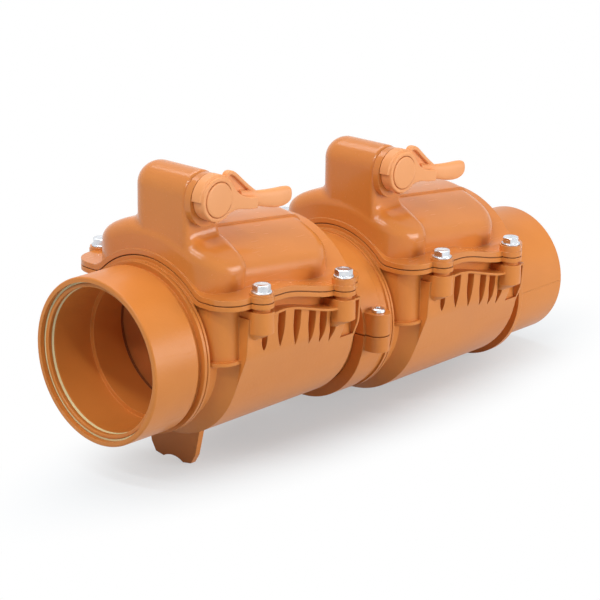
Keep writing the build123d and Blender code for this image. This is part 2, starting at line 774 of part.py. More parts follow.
def make_slide():
    """Lock slide: a yoke on the crank pin and a bar that drops in front of the flap's horn."""
    y0, y1 = slide_span()
    pin_x, pin_z = crank_pin_place()
    inner = turret_half_length - lid_wall - slide_wall_gap
    x0, x1 = shaft_x - inner, shaft_x + inner
    yoke = block(x0, x1, y0, y1, pin_z - yoke_height / 2, pin_z + yoke_height / 2)
    centre_z = turret_top - turret_half_length
    yoke &= rod_y(inner, shaft_x, centre_z, y0, y1) + block(x0, x1, y0, y1, 0, centre_z)
    tip_z = flap_hinge_z + horn_height - horn_overlap + slide_travel()
    bar = block(bar_x() - slide_width, bar_x(), y0, y1, tip_z, pin_z - yoke_height / 2 + 2)
    low_x = shaft_x - crank_throw
    slot = Pos((low_x + pin_x) / 2, pin_z) * SlotCenterToCenter(pin_x - low_x + 0.01, 2 * (crank_pin_radius + slot_gap))
    return yoke + bar - Pos(0, y1 + 1, 0) * extrude(Plane.XZ * slot, slide_thickness + 2)


def lever_outline():
    """Side outline of the lever's arm: a waist between the hub and a paddle with a raised tip."""
    x, z = shaft_x, shaft_z
    top = Spline((x + 8, z + 15), (x + 22, z + 7), (x + 44, z - 0.6), (x + 63, z - 2.8), (x + 78, z - 6))
    tip = ThreePointArc((x + 78, z - 6), (x + 77, z - 13), (x + 71.5, z - 18.2))
    low = Spline((x + 71.5, z - 18.2), (x + 52, z - 15.6), (x + 34, z - 12.7), (x + 23, z - 11.7), (x + 10, z - 14))
    return make_face(top + tip + low + Line((x + 10, z - 14), (x + 8, z + 15)))


def make_lever():
    """Lever: round hub with a raised face, waisted arm, and a lifting wing on the arm's inner side."""
    y_in = turret_near_y - collar_height - lever_gap
    y_out = y_in - lever_hub_length
    x, z = shaft_x, shaft_z
    hub = rod_y(lever_hub_radius, x, z, y_out, y_in)
    hub += rod_y(lever_face_radius + lever_face_rim, x, z, y_out - lever_face_height, y_out)
    arm = Pos(0, y_out + lever_thickness - lever_face_height, 0) * extrude(Plane.XZ * lever_outline(), lever_thickness)
    wing = make_face(Polyline((x + 9, z + 10), (x + 12, z + 18.5), (x + 20, z + 16), (x + 34, z + 4), (x + 42, z - 3),
                              (x + 30, z - 8), (x + 12, z - 6), close=True))
    wing = fillet(wing.vertices().sort_by(Axis.Y)[-2:], 3.0)
    window = make_face(Polyline((x + 19, z + 10), (x + 28, z + 3), (x + 20, z + 5), close=True))
    wing = Pos(0, y_in, 0) * extrude(Plane.XZ * (wing - window), 4.0)
    lever = hub + arm + wing
    half = lever_square / 2 + lever_square_gap
    lever -= block(x - half, x + half, y_out + lever_web, y_in + 1, z - half, z + half)
    lever -= rod_y(screw_radius + bolt_hole_gap, x, z, y_out - tall, y_in)
    return lever - rod_y(lever_face_radius, x, z, y_out - tall, y_out)


def make_lever_screw():
    y_out = turret_near_y - collar_height - lever_gap - lever_hub_length
    tip = y_out + 11
    head = rod_y(screw_head_radius, shaft_x, shaft_z, y_out - 1.0, y_out)
    return head + rod_y(screw_radius, shaft_x, shaft_z, y_out, tip)


def make_lever_cap():
    """Round cap pressed into the hub's face over the screw."""
    y_out = turret_near_y - collar_height - lever_gap - lever_hub_length
    cap = rod_y(lever_face_radius - 0.05, shaft_x, shaft_z, y_out - lever_face_height - 0.8, y_out)
    return cap - rod_y(screw_head_radius + 0.3, shaft_x, shaft_z, y_out - 1.3, y_out + 1)


def clamp_ring():
    """Whole clamp band in the frame of the joint's axis, before it is split."""
    half = clamp_length / 2
    band = rod_x(clamp_radius, joint_x - half, joint_x + half)
    for side in (-1, 1):
        band += rod_z(clamp_ear_radius, joint_x, side * clamp_ear_y, -clamp_lower_ear, clamp_upper_ear)
        y0, y1 = sorted((side * clamp_ear_y, side * (joint_flange_radius - 8)))
        band += block(joint_x - clamp_ear_radius, joint_x + clamp_ear_radius, y0, y1, -clamp_lower_ear, clamp_upper_ear)
    band -= rod_x(pipe_radius + fit_gap, joint_x - half - 1, joint_x)
    band -= rod_x(neck_radius - wall + fit_gap, joint_x, joint_x + half + 1)
    groove = joint_flange_thickness + fit_gap
    band -= rod_x(joint_flange_radius + fit_gap, joint_x - groove, joint_x + groove)
    for side in (-1, 1):
        band -= rod_z(clamp_bolt_radius + bolt_hole_gap, joint_x, side * clamp_ear_y, -tall, tall)
        band -= hex_z(nut_hex + 2 * bolt_hole_gap, joint_x, side * clamp_ear_y, -clamp_lower_ear - 1,
                      -clamp_lower_ear + nut_height)
    return band


def make_clamp_half(upper):
    keep = tall if upper else -tall
    edge = clamp_split_gap / 2 if upper else -clamp_split_gap / 2
    z0, z1 = sorted((edge, keep))
    half = clamp_ring() & block(joint_x - 20, joint_x + 20, -tall, tall, z0, z1)
    return Pos(0, 0, -unit_drop) * half


def make_clamp_bolts():
    bolts = Part()
    for side in (-1, 1):
        y = side * clamp_ear_y
        bolts += rod_z(clamp_bolt_radius, joint_x, y, -clamp_lower_ear + 0.5, clamp_upper_ear)
        head = rod_z(clamp_head_radius, joint_x, y, clamp_upper_ear, clamp_upper_ear + clamp_head_height)
        bolts += fillet(head.edges().sort_by(Axis.Z)[-1], 1.6)
    return Pos(0, 0, -unit_drop) * bolts


def make_clamp_nuts():
    nuts = Part()
    for side in (-1, 1):
        y = side * clamp_ear_y
        low = -clamp_lower_ear - 0.2
        nut = hex_z(nut_hex, joint_x, y, low, low + nut_height)
        nuts += nut - rod_z(clamp_bolt_radius, joint_x, y, low, low + nut_height)
    return Pos(0, 0, -unit_drop) * nuts


def save(shape, name):
    export_step(shape, f"parts/{name}.step")


def save_unit(number, core_pieces):
    """Write the pieces that both units share, moved to the unit's place."""
    place = Pos((number - 1) * unit_pitch, 0, -(number - 1) * unit_drop)
    for name, shape in core_pieces.items():
        save(place * shape, f"{name}_{number}")


shared = {
    "lid": make_lid(),
    "lid_gasket": make_gasket(),
    "lid_bolts": make_lid_bolts(),
    "lid_inserts": make_lid_inserts(),
    "flap": flap_place() * make_flap(),
    "flap_seal": flap_place() * make_flap_seal(),
    "hinge_pin": hinge_pin_hole(0),
    "lock_shaft": make_shaft(),
    "shaft_seals": make_o_rings(),
    "lock_slide": make_slide(),
    "lever": make_lever(),
    "lever_screw": make_lever_screw(),
    "lever_cap": make_lever_cap(),
}
save_unit(1, shared)
save_unit(2, shared)

unit_core = body_core()
outlet_place = Pos(unit_pitch, 0, -unit_drop)
save(make_inlet_body(unit_core), "inlet_body")
save(outlet_place * make_outlet_body(unit_core), "outlet_body")
save(make_lip_seal(), "inlet_lip_seal")
save(outlet_place * joint_seal_ring(0.0, joint_x - unit_pitch), "joint_seal")
save(make_clamp_half(True), "clamp_upper")
save(make_clamp_half(False), "clamp_lower")
save(make_clamp_bolts(), "clamp_bolts")
save(make_clamp_nuts(), "clamp_nuts")
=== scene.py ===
from math import cos, radians, sin

import bmesh
import bpy
import numpy as np
from mathutils import Matrix, Vector


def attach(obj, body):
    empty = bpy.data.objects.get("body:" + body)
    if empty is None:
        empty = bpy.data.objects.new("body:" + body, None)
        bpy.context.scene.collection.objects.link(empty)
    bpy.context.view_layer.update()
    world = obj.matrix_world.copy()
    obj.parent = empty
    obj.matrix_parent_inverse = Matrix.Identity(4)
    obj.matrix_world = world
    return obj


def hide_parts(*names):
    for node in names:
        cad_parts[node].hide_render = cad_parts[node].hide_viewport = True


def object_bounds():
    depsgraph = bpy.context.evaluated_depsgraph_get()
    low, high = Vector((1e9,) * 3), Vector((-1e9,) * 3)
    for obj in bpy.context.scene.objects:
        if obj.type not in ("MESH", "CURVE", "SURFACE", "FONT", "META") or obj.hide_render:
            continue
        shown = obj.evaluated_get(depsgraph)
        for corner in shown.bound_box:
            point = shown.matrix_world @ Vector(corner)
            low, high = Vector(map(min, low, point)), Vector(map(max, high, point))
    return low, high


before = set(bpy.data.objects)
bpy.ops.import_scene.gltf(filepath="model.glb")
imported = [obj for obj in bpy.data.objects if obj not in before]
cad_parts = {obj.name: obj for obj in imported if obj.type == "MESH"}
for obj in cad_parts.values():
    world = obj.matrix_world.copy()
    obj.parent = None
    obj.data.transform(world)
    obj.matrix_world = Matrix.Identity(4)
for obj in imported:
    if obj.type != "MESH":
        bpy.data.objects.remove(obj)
cad_low, cad_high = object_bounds()


# The moulded housing: two chamber bodies, the clamp halves and the foot.
# They are orange-brown polypropylene, injection moulded with a satin skin
# that is a little mottled, scuffed on its edges and finely scratched.

def shader_group(name, inputs, outputs):
    """A node group with number inputs and named outputs, and its two end nodes."""
    group = bpy.data.node_groups.new(name, "ShaderNodeTree")
    for label, value in inputs:
        socket = group.interface.new_socket(name=label, in_out="INPUT", socket_type="NodeSocketFloat")
        socket.default_value = value
    for label, kind in outputs:
        group.interface.new_socket(name=label, in_out="OUTPUT", socket_type=kind)
    return group, group.nodes.new("NodeGroupInput"), group.nodes.new("NodeGroupOutput")


def mottle_group():
    """Slow clouds of colour and a fine orange-peel height, as moulded polypropylene shows."""
    inputs = [("Cloud scale", 14.0), ("Peel scale", 420.0)]
    outputs = [("Mask", "NodeSocketFloat"), ("Height", "NodeSocketFloat")]
    group, start, end = shader_group("moulded mottle", inputs, outputs)
    place = group.nodes.new("ShaderNodeTexCoord")
    cloud = group.nodes.new("ShaderNodeTexNoise")
    cloud.inputs["Detail"].default_value = 4.0
    peel = group.nodes.new("ShaderNodeTexNoise")
    peel.inputs["Detail"].default_value = 2.0
    group.links.new(place.outputs["Object"], cloud.inputs["Vector"])
    group.links.new(place.outputs["Object"], peel.inputs["Vector"])
    group.links.new(start.outputs["Cloud scale"], cloud.inputs["Scale"])
    group.links.new(start.outputs["Peel scale"], peel.inputs["Scale"])
    group.links.new(cloud.outputs["Fac"], end.inputs["Mask"])
    group.links.new(peel.outputs["Fac"], end.inputs["Height"])
    return group


def edge_group():
    """Rounded edges: the normal averaged over a small radius, and how far it turns from the face."""
    outputs = [("Mask", "NodeSocketFloat"), ("Normal", "NodeSocketVector")]
    group, start, end = shader_group("rounded edges", [("Radius", 0.0008)], outputs)
    soft = group.nodes.new("ShaderNodeBevel")
    soft.samples = 6
    face = group.nodes.new("ShaderNodeNewGeometry")
    turn = group.nodes.new("ShaderNodeVectorMath")
    turn.operation = "DOT_PRODUCT"
    wear = group.nodes.new("ShaderNodeMapRange")
    wear.inputs["From Min"].default_value = 0.995
    wear.inputs["From Max"].default_value = 0.85
    group.links.new(start.outputs["Radius"], soft.inputs["Radius"])
    group.links.new(soft.outputs["Normal"], turn.inputs[0])
    group.links.new(face.outputs["Normal"], turn.inputs[1])
    group.links.new(turn.outputs["Value"], wear.inputs["Value"])
    group.links.new(wear.outputs["Result"], end.inputs["Mask"])
    group.links.new(soft.outputs["Normal"], end.inputs["Normal"])
    return group


def scratch_group():
    """Sparse fine scratches: noise drawn out along a slanted line, with only its peaks kept."""
    group, start, end = shader_group("fine scratches", [("Scale", 1.0)], [("Mask", "NodeSocketFloat")])
    place = group.nodes.new("ShaderNodeTexCoord")
    lay = group.nodes.new("ShaderNodeMapping")
    lay.inputs["Rotation"].default_value = (0.5, 0.3, 0.7)
    lay.inputs["Scale"].default_value = (22.0, 700.0, 700.0)
    grain = group.nodes.new("ShaderNodeTexNoise")
    grain.inputs["Detail"].default_value = 1.0
    peaks = group.nodes.new("ShaderNodeMapRange")
    peaks.inputs["From Min"].default_value = 0.66
    peaks.inputs["From Max"].default_value = 0.76
    group.links.new(place.outputs["Object"], lay.inputs["Vector"])
    group.links.new(lay.outputs["Vector"], grain.inputs["Vector"])
    group.links.new(start.outputs["Scale"], grain.inputs["Scale"])
    group.links.new(grain.outputs["Fac"], peaks.inputs["Value"])
    group.links.new(peaks.outputs["Result"], end.inputs["Mask"])
    return group


mottle = mottle_group()
round_edges = edge_group()
scratches = scratch_group()


def new_material(name):
    """An empty material with its node tree and its shader."""
    mat = bpy.data.materials.new(name)
    mat.use_nodes = True
    return mat, mat.node_tree, mat.node_tree.nodes["Principled BSDF"]


def placed_group(tree, group, **values):
    """A node group placed in a material, with its inputs set by name."""
    node = tree.nodes.new("ShaderNodeGroup")
    node.node_tree = group
    for label, value in values.items():
        node.inputs[label.replace("_", " ")].default_value = value
    return node


def two_colours(tree, factor, first, second):
    """A colour mix of two sockets or plain colours by a factor socket."""
    blend = tree.nodes.new("ShaderNodeMix")
    blend.data_type = "RGBA"
    tree.links.new(factor, blend.inputs["Factor"])
    for label, colour in (("A", first), ("B", second)):
        if isinstance(colour, tuple):
            blend.inputs[label].default_value = (*colour, 1.0)
        else:
            tree.links.new(colour, blend.inputs[label])
    return blend.outputs["Result"]


def ranged(tree, value, from_low, from_high, to_low, to_high):
    """A number socket moved from one range to another."""
    node = tree.nodes.new("ShaderNodeMapRange")
    limits = (from_low, from_high, to_low, to_high)
    for label, limit in zip(("From Min", "From Max", "To Min", "To Max"), limits):
        node.inputs[label].default_value = limit
    tree.links.new(value, node.inputs["Value"])
    return node.outputs["Result"]


def clouded(tree, cloud, low, high):
    """The clouds' mask as a number that drifts from low to high."""
    return ranged(tree, cloud.outputs["Mask"], 0.3, 0.7, low, high)


def joined_maths(tree, operation, first, second):
    """The result of one sum, product or comparison of two number sockets."""
    node = tree.nodes.new("ShaderNodeMath")
    node.operation = operation
    tree.links.new(first, node.inputs[0])
    tree.links.new(second, node.inputs[1])
    return node.outputs["Value"]


def uneven_gloss(tree, cloud, scratch, rough, drift, scratched):
    """Roughness that drifts with the clouds and rises where the skin is scratched."""
    drifting = clouded(tree, cloud, rough - drift, rough + drift)
    rise = ranged(tree, scratch.outputs["Mask"], 0.0, 1.0, 0.0, scratched)
    return joined_maths(tree, "ADD", drifting, rise)


def soft_relief(tree, cloud, edge, strength, height):
    """The rounded edges' normal, with the fine peel bumped on to it."""
    bump = tree.nodes.new("ShaderNodeBump")
    bump.inputs["Strength"].default_value = strength
    bump.inputs["Distance"].default_value = height
    tree.links.new(cloud.outputs["Height"], bump.inputs["Height"])
    tree.links.new(edge.outputs["Normal"], bump.inputs["Normal"])
    return bump.outputs["Normal"]


def plastic(name, base, dark, worn, rough, peel_scale, peel_height, coat, radius=0.0008):
    """Moulded plastic: clouds between two colours, paler worn edges, scratches and uneven gloss."""
    mat, tree, shader = new_material(name)
    cloud = placed_group(tree, mottle, Peel_scale=peel_scale)
    edge = placed_group(tree, round_edges, Radius=radius)
    scratch = placed_group(tree, scratches)
    colour = two_colours(tree, clouded(tree, cloud, 0.0, 1.0), dark, base)
    wear = ranged(tree, edge.outputs["Mask"], 0.0, 1.0, 0.0, 0.45)
    colour = two_colours(tree, wear, colour, worn)
    gloss = uneven_gloss(tree, cloud, scratch, rough, drift=0.04, scratched=0.12)
    relief = soft_relief(tree, cloud, edge, strength=0.25, height=peel_height)
    tree.links.new(colour, shader.inputs["Base Color"])
    tree.links.new(gloss, shader.inputs["Roughness"])
    tree.links.new(relief, shader.inputs["Normal"])
    shader.inputs["Coat Weight"].default_value = coat
    shader.inputs["Coat Roughness"].default_value = 0.1
    shader.inputs["Specular IOR Level"].default_value = 0.25
    return mat


body_plastic = plastic("body plastic", (0.66, 0.228, 0.046), (0.60, 0.195, 0.036), (0.78, 0.34, 0.10),
                       rough=0.34, peel_scale=420.0, peel_height=0.0004, coat=0.0)


def carry_over(node, material):
    """Give a carried-over CAD node its material."""
    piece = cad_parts[node]
    piece.data.materials.clear()
    piece.data.materials.append(material)


for node in ("inlet_body", "outlet_body", "clamp_upper", "clamp_lower"):
    carry_over(node, body_plastic)


# The two lids: saddle-shaped covers of the same orange-brown plastic, moulded
# with a glossier skin, so the studio lamps draw long streaks on their hoods.

lid_plastic = plastic("lid plastic", (0.66, 0.228, 0.048), (0.61, 0.20, 0.04), (0.78, 0.34, 0.10),
                      rough=0.22, peel_scale=300.0, peel_height=0.0003, coat=0.16)
for node in ("lid_1", "lid_2"):
    carry_over(node, lid_plastic)


# The flaps: stiff ribbed discs of the same plastic with a plain skin, hung from
# their pins inside the chambers. Their colour is the body's darkened as painted shade.

# The darker base and dark colours here are painted shade for the flaps inside the chambers.
flap_plastic_painted_shade = plastic("flap plastic, painted shade", (0.52, 0.17, 0.045), (0.46, 0.14, 0.035), (0.6, 0.25, 0.08),
                       rough=0.34, peel_scale=420.0, peel_height=0.0004, coat=0.05)
for node in ("flap_1", "flap_2"):
    carry_over(node, flap_plastic_painted_shade)


# The lock shafts and slides inside the lids: black glass-filled nylon,
# injection moulded and left as it comes from the tool.

nylon = plastic("black nylon", (0.03, 0.03, 0.032), (0.018, 0.018, 0.02), (0.09, 0.09, 0.09),
                rough=0.45, peel_scale=700.0, peel_height=0.0004, coat=0.0)
for node in ("lock_shaft_1", "lock_shaft_2", "lock_slide_1", "lock_slide_2"):
    carry_over(node, nylon)


# The rubber parts: lid gaskets, flap seals, shaft rings and the seal between the
# two bodies, all of matt red-brown rubber with a dusty bloom, cut or moulded.

rubber = plastic("brown rubber", (0.27, 0.095, 0.03), (0.22, 0.075, 0.022), (0.33, 0.13, 0.05),
                 rough=0.78, peel_scale=600.0, peel_height=0.0005, coat=0.0)
for node in ("joint_seal", "lid_gasket_1", "lid_gasket_2", "flap_seal_1", "flap_seal_2",
             "shaft_seals_1", "shaft_seals_2"):
    carry_over(node, rubber)


# The lip seal of the inlet socket: a pale yellow soft rubber ring, moulded with
# a round bead that sits in the groove and a thin lip that leans inwards.

def grid_faces(rows, columns, wrap_rows, wrap_columns):
    """Four-sided faces of a grid of points: each is joined to the next row and the next column."""
    i = np.arange(rows if wrap_rows else rows - 1)[:, None]
    j = np.arange(columns if wrap_columns else columns - 1)[None, :]
    next_i, next_j = (i + 1) % rows, (j + 1) % columns
    corners = [i * columns + j, i * columns + next_j, next_i * columns + next_j, next_i * columns + j]
    return np.stack(np.broadcast_arrays(*corners), axis=-1).reshape(-1, 4)


def surface(name, grids, crease):
    """One mesh from grids of points in millimetres, smooth but for creases over an angle in degrees."""
    points, faces, start = [], [], 0
    for grid, wrap_rows, wrap_columns in grids:
        rows, columns = grid.shape[:2]
        points.append(grid.reshape(-1, 3) * 0.001)
        faces.append(grid_faces(rows, columns, wrap_rows, wrap_columns) + start)
        start += rows * columns
    mesh = bpy.data.meshes.new(name)
    mesh.from_pydata(np.concatenate(points), [], np.concatenate(faces))
    shell = bmesh.new()
    shell.from_mesh(mesh)
    bmesh.ops.remove_doubles(shell, verts=shell.verts, dist=1e-6)
    bmesh.ops.recalc_face_normals(shell, faces=shell.faces)
    shell.to_mesh(mesh)
    shell.free()
    mesh.shade_smooth()
    mesh.set_sharp_from_angle(angle=radians(crease))
    piece = bpy.data.objects.new(name, mesh)
    bpy.context.collection.objects.link(piece)
    return piece


def dress(piece, material, slot, body, *nodes):
    """Give a new piece its material and body, and let it stand for CAD nodes; the slot is not used."""
    piece.data.materials.append(material)
    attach(piece, body)
    if nodes:
        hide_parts(*nodes)


def ring_about_x(profile, steps=160):
    """A closed profile of (x, radius) points turned about the pipe's axis: x, r cos a, r sin a."""
    turn = np.linspace(0, 2 * np.pi, steps, endpoint=False)[:, None]
    x, r = np.asarray(profile, float).T
    return np.stack([x + 0 * turn, r * np.cos(turn), r * np.sin(turn)], axis=-1), True, True


lip_rubber = plastic("pale rubber", (0.82, 0.72, 0.40), (0.74, 0.62, 0.32), (0.86, 0.78, 0.50),
                     rough=0.55, peel_scale=500.0, peel_height=0.0005, coat=0.0, radius=0.0002)
lip_profile = [(4.3, 58.9), (4.3, 60.3), (5.1, 60.5), (6.25, 60.5), (6.25, 57.6), (7.2, 56.6), (8.6, 55.6),
               (9.3, 55.35), (9.35, 55.7), (8.3, 56.5), (7.6, 57.4), (6.9, 58.2), (5.6, 58.4), (4.6, 58.5)]
lip_seal = surface("inlet_lip_ring", [ring_about_x(lip_profile)], crease=60.0)
dress(lip_seal, lip_rubber, "lip_seal", "housing", "inlet_lip_seal")


# The ring that holds the lip seal in its groove: a thin snapped-in hoop of the
# body's own plastic, so only the seal's outer edge shows as a pale line.

hoop_profile = [(3.8, 56.2), (3.8, 58.3), (4.2, 58.6), (5.4, 58.3), (6.6, 57.6), (7.4, 56.3), (7.2, 55.7),
                (4.4, 55.6)]
seal_hoop = surface("seal_hoop", [ring_about_x(hoop_profile)], crease=40.0)
dress(seal_hoop, body_plastic, "body", "housing")


# The mould seam along the plain end: a hair-fine ridge left where the two
# halves of the tool met, on both sides of the pipe at the height of its axis.

def seam_strip(first, last, radius, height):
    """Low ridge along x on both sides: radius less foot plus rise cos a across, half width sin a upwards."""
    foot, rise, half_width = 0.1, 0.22, 0.35
    x = np.linspace(first, last, 60)[:, None]
    turn = np.linspace(-np.pi / 2, np.pi / 2, 7)[None, :]
    z = height + half_width * np.sin(turn) + 0 * x
    sides = []
    for sign in (-1, 1):
        y = sign * (radius - foot + rise * np.cos(turn)) + 0 * x
        sides.append((np.stack([x + 0 * turn, y, z], axis=-1), False, True))
    return sides


spigot_ridges = seam_strip(first=437.0, last=497.5, radius=55.0, height=-36.0)
spigot_seam = surface("spigot_seam", spigot_ridges, crease=60.0)
dress(spigot_seam, body_plastic, "body", "housing")


# The lid bolts: M6 flanged hexagon screws with bright zinc plating, cold
# headed with a chamfered crown and rolled threads, screwed into the inserts.

def metal(name, base, dark, rough, scale):
    """Metal: colour and gloss that vary in small patches, with fine scratches and rounded edges."""
    mat, tree, shader = new_material(name)
    cloud = placed_group(tree, mottle, Cloud_scale=scale, Peel_scale=scale * 8)
    edge = placed_group(tree, round_edges, Radius=0.0003)
    scratch = placed_group(tree, scratches, Scale=2.0)
    colour = two_colours(tree, clouded(tree, cloud, 0.0, 1.0), dark, base)
    gloss = uneven_gloss(tree, cloud, scratch, rough, drift=0.06, scratched=0.1)
    relief = soft_relief(tree, cloud, edge, strength=0.2, height=0.0001)
    tree.links.new(colour, shader.inputs["Base Color"])
    tree.links.new(gloss, shader.inputs["Roughness"])
    tree.links.new(relief, shader.inputs["Normal"])
    shader.inputs["Metallic"].default_value = 1.0
    return mat


bolt_steps = 72
all_round = np.linspace(0, 2 * np.pi, bolt_steps, endpoint=False)


def six_sided(half_width, turn):
    """A hexagon's radius in each direction: half its width over the cosine from the nearest flat's middle."""
    return half_width / np.cos(turn % (np.pi / 3) - np.pi / 6)


def cone_cut(radius, start):
    """Depth that a 30 degree cone takes off beyond the radius where it starts."""
    return np.clip(radius - start, 0, None) * np.tan(np.pi / 6)


def turned(rows, x, y):
    """Rows of (radius, height), in numbers or one per direction, turned upright: x + r cos a, y + r sin a."""
    radius, height = (np.array([np.broadcast_to(row[k], bolt_steps) for row in rows]) for k in (0, 1))
    return np.stack([x + radius * np.cos(all_round), y + radius * np.sin(all_round), height], axis=-1)


def thread_rows(low, high, radius, depth):
    """Rolled thread: the radius falls by a triangle wave of height over pitch less the share of a turn."""
    pitch = 1.0
    share = np.arange(bolt_steps) / bolt_steps
    rows = []
    for height in np.arange(low, high, pitch / 8):
        wave = np.abs(2 * ((height / pitch - share) % 1.0) - 1.0)
        fade = np.clip(min(height - low, high - height) / pitch, 0, 1)
        rows.append((radius - depth * wave * fade, height))
    return rows


def shank(low, top):
    """M6 shank from its chamfered end to the top of its thread, as rows of (radius, height)."""
    tip = [(0.0, low), (2.2, low), (2.9, low + 0.8)]
    return tip + thread_rows(low + 0.8, top, radius=2.95, depth=0.55) + [(2.95, top + 0.1)]


def flanged_bolt(x, y, seat, low, angle):
    """Flanged hexagon bolt: threaded shank, coned flange, hexagon whose top is cut by a 30 degree cone."""
    hexagon = six_sided(6.1, all_round - angle)
    crown = seat + 6.3 - cone_cut(hexagon, 5.9)
    rows = shank(low, seat - 4)
    rows += [(2.95, seat - 0.05), (7.5, seat), (7.78, seat + 0.25), (7.78, seat + 1.25), (7.55, seat + 1.5),
             (7.2, seat + 1.6), (hexagon, seat + 1.7), (hexagon, crown), (5.8, seat + 6.35),
             (4.6, seat + 6.35), (4.0, seat + 6.2), (0.0, seat + 6.1)]
    return turned(rows, x, y), False, True


zinc = metal("bright zinc", (0.80, 0.82, 0.85), (0.58, 0.61, 0.66), rough=0.26, scale=160.0)
units = ((1, 0.0, 0.0), (2, 208.0, -18.0))
front_x, rear_x, side_y = 86.0, 176.0, 85.0
bolt_turns = ((front_x, -side_y, 0.32), (front_x, side_y, 0.9), (rear_x, -side_y, 0.2), (rear_x, side_y, 0.6))
bolt_ends = {front_x: (53.4, 28.3), rear_x: (45.4, 17.5)}
for unit, unit_x, unit_z in units:
    grids = []
    for x, y, angle in bolt_turns:
        seat, low = bolt_ends[x]
        turn = angle + 0.4 * (unit - 1)
        grids.append(flanged_bolt(x + unit_x, y, seat + unit_z, low + unit_z, turn))
    bolts = surface(f"lid_screws_{unit}", grids, crease=30.0)
    dress(bolts, zinc, "zinc", "housing", f"lid_bolts_{unit}")


# The clamp's two bolts, with low round heads that have a hexagon socket, and
# the nuts under the lower ears; plated like the lid bolts.

def socket_bolt(x, y, seat, low):
    """Pan-headed bolt: threaded shank, domed head and a six-sided socket in its top."""
    socket = six_sided(2.0, all_round)
    rows = shank(low, low + 14)
    rows += [(2.95, seat - 0.05), (5.2, seat), (5.38, seat + 0.3), (5.36, seat + 1.6), (5.0, seat + 2.6),
             (4.2, seat + 3.2), (3.2, seat + 3.45), (2.6, seat + 3.45), (socket, seat + 3.3),
             (socket, seat + 1.2), (0.9, seat + 0.8), (0.0, seat + 0.6)]
    return turned(rows, x, y), False, True


def chamfered_nut(x, y, low, high):
    """Hexagon nut: both ends of the hexagon cut by a 30 degree cone, with a threaded hole."""
    hexagon = six_sided(4.98, all_round)
    bevel = cone_cut(hexagon, 4.7)
    rows = [(3.4, low), (4.7, low), (hexagon, low + bevel), (hexagon, high - bevel), (4.7, high), (3.4, high)]
    rows += thread_rows(low + 0.4, high - 0.4, radius=3.02, depth=-0.3)[::-1]
    return turned(rows, x, y), True, True


clamp_x = 235.5
ears = (-70, 70)
screw_grids = [socket_bolt(clamp_x, y, seat=0.0, low=-30.5) for y in ears]
clamp_screws = surface("clamp_screws", screw_grids, crease=30.0)
dress(clamp_screws, zinc, "zinc", "housing", "clamp_bolts")
nut_grids = [chamfered_nut(clamp_x, y, low=-31.2, high=-26.2) for y in ears]
nuts = surface("clamp_hex_nuts", nut_grids, crease=30.0)
dress(nuts, zinc, "zinc", "housing", "clamp_nuts")


# The hinge pins and the lever screws: plain stainless steel, turned, with a
# slightly duller finish than the plated bolts.

stainless = metal("stainless steel", (0.66, 0.66, 0.67), (0.52, 0.52, 0.53), rough=0.3, scale=220.0)
for node in ("hinge_pin_1", "hinge_pin_2", "lever_screw_1", "lever_screw_2"):
    carry_over(node, stainless)


# The brass inserts under the lid bolts, pressed into the bosses of the body.
# They are machined, and a little duller than the plated bolts.

brass = metal("machined brass", (0.76, 0.58, 0.27), (0.6, 0.44, 0.18), rough=0.3, scale=220.0)
for node in ("lid_inserts_1", "lid_inserts_2"):
    carry_over(node, brass)


# The lock levers: paler satin mouldings pressed on the shafts' square ends.
# Each has a hub with a stop shoulder, a flat arm that ends short over the thumb
# paddle behind it, and a hollow wing on its inner side, all in one piece.

def closed_ends(rows):
    """A tube's rows of points with each end drawn together to a point at its middle."""
    middles = rows[[0, -1]].mean(axis=1, keepdims=True) + 0 * rows[[0, -1]]
    return np.concatenate([middles[:1], rows, middles[1:]]), False, True


def soft_section(power, steps=40):
    """Superellipse of half width one: signed powers 2/power of the cosine and the sine."""
    turn = np.linspace(0, 2 * np.pi, steps, endpoint=False)
    c, s = np.cos(turn), np.sin(turn)
    return np.sign(c) * np.abs(c) ** (2 / power), np.sign(s) * np.abs(s) ** (2 / power)


def soft_bar(stations, power):
    """Bar along x: a superellipse fills each station's (x, y low, y high, z low, z high)."""
    x, y0, y1, z0, z1 = (column[:, None] for column in np.asarray(stations, float).T)
    wide, tall = soft_section(power)
    rows = [x + 0 * wide, (y0 + y1) / 2 + (y1 - y0) / 2 * wide, (z0 + z1) / 2 + (z1 - z0) / 2 * tall]
    return closed_ends(np.stack(rows, axis=-1))


def about_shaft(profile, first, last):
    """A closed profile of (y, radius) points turned between two angles in degrees: r cos a, y, r sin a."""
    turn = np.radians(np.linspace(first, last, 97))[:, None]
    y, r = np.asarray(profile, float).T
    rows = np.stack([r * np.cos(turn), y + 0 * turn, r * np.sin(turn)], axis=-1)
    return (rows[:-1], True, True) if last - first == 360 else closed_ends(rows)


def corner_cut(points, times):
    """Softens a path: each run gives two points, at a quarter and at three quarters of it; the ends stay."""
    for _ in range(times):
        near = 0.75 * points[:-1] + 0.25 * points[1:]
        far = 0.25 * points[:-1] + 0.75 * points[1:]
        points = np.concatenate([points[:1], np.stack([near, far], axis=1).reshape(-1, 2), points[-1:]])
    return points


def rim(path, width, y0, y1):
    """Bar along a path of (x, z) points: a superellipse across the path, from y0 to y1."""
    path = corner_cut(np.asarray(path, float), 3)
    run = np.gradient(path, axis=0)
    run /= np.linalg.norm(run, axis=1, keepdims=True)
    side = np.stack([-run[:, 1], run[:, 0]], axis=1)[:, None]
    wide, tall = soft_section(4.0, 28)
    across = path[:, None] + side * (width / 2 * wide)[:, None]
    y = (y0 + y1) / 2 + (y1 - y0) / 2 * tall + 0 * across[..., 0]
    return closed_ends(np.stack([across[..., 0], y, across[..., 1]], axis=-1))


def plate(outline, y0, y1):
    """Flat plate across the shaft: one outline of (x, z) points at y0 and y1, closed at both faces."""
    x, z = np.asarray(outline, float).T
    y = np.array([[y0], [y1]])
    return closed_ends(np.stack([x + 0 * y, y + 0 * x, z + 0 * y], axis=-1))


